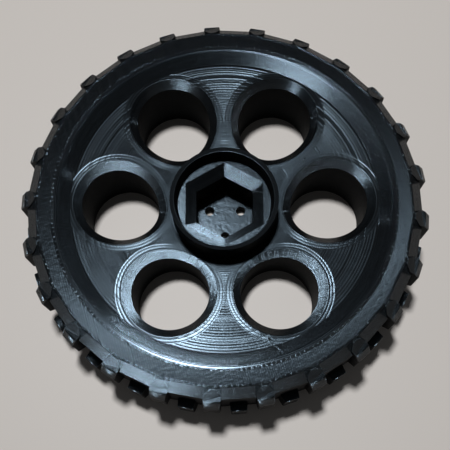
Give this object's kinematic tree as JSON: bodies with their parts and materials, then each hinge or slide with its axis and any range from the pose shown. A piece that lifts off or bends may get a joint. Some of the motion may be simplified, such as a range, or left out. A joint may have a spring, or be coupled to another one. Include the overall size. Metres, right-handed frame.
{
  "type": "robotic mower wheel",
  "caption": "Black printed drive wheel with a lugged tread, a domed web with large round holes, and a ringed hub with a hexagon socket and screw holes in its floor.",
  "frame": {"origin": "centre of the wheel's flat inner side, on the wheel axis", "axes": "+Z along the wheel axis, out of the hub's open side; +X through the centre of one large round hole"},
  "size_m": [0.21, 0.21, 0.044],
  "materials": {
    "print": "black filament print, satin with visible layer lines"
  },
  "bodies": {
    "root": {"wheel": "print"}
  },
  "joints": []
}
